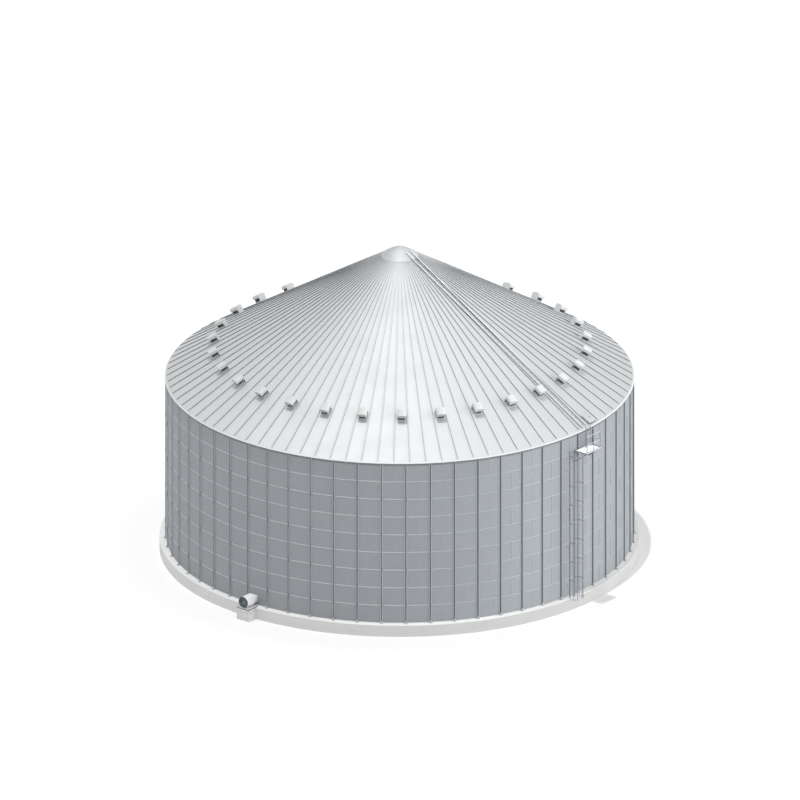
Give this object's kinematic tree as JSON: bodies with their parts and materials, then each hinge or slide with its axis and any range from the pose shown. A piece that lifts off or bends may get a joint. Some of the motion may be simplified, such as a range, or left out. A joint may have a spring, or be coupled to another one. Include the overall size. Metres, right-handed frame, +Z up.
{
  "type": "grain silo",
  "caption": "Flat-bottomed round steel grain silo on a concrete raft: stiffened sheet wall, ribbed cone roof with hooded vents, caged ladder, eave platform, roof ladder and aeration fan.",
  "frame": {"origin": "middle of the concrete raft's underside, at ground level on the silo's axis", "axes": "+Z up; -Y towards the viewer of the picture; the fan is at front left and the ladder at front right"},
  "size_m": [28.211, 28.211, 19.0118],
  "materials": {
    "concrete": "cast concrete, trowelled top, board-smooth side",
    "wall_sheet": "weathered galvanised corrugated sheet",
    "roof_sheet": "bright galvanised roof sheet",
    "pale_sheet": "satin white paint on sheet steel",
    "galvanised": "hot-dip galvanised bars",
    "dark_metal": "satin dark green-grey paint"
  },
  "bodies": {
    "root": {"foundation": "concrete", "fan_pad": "concrete", "wall_segment_01": "wall_sheet", "wall_segment_02": "wall_sheet", "wall_segment_03": "wall_sheet", "wall_segment_04": "wall_sheet", "wall_segment_05": "wall_sheet", "wall_segment_06": "wall_sheet", "wall_segment_07": "wall_sheet", "wall_segment_08": "wall_sheet", "wall_segment_09": "wall_sheet", "wall_segment_10": "wall_sheet", "roof_segment_01": "roof_sheet", "roof_segment_02": "roof_sheet", "roof_segment_03": "roof_sheet", "roof_segment_04": "roof_sheet", "roof_segment_05": "roof_sheet", "roof_segment_06": "roof_sheet", "roof_segment_07": "roof_sheet", "roof_segment_08": "roof_sheet", "roof_segment_09": "roof_sheet", "roof_segment_10": "roof_sheet", "peak_collar": "galvanised", "peak_cap": "pale_sheet", "wall_ladder": "galvanised", "ladder_cage": "galvanised", "eave_platform": "pale_sheet", "platform_brackets": "galvanised", "platform_rails": "galvanised", "eave_ladder": "galvanised", "roof_ladder": "galvanised", "roof_hatch_curb": "roof_sheet", "roof_hatch_cover": "roof_sheet", "fan_base": "pale_sheet", "fan_housing": "pale_sheet", "fan_guard": "dark_metal", "fan_rotor": "dark_metal", "fan_motor": "dark_metal", "fan_transition": "galvanised"}
  },
  "joints": []
}
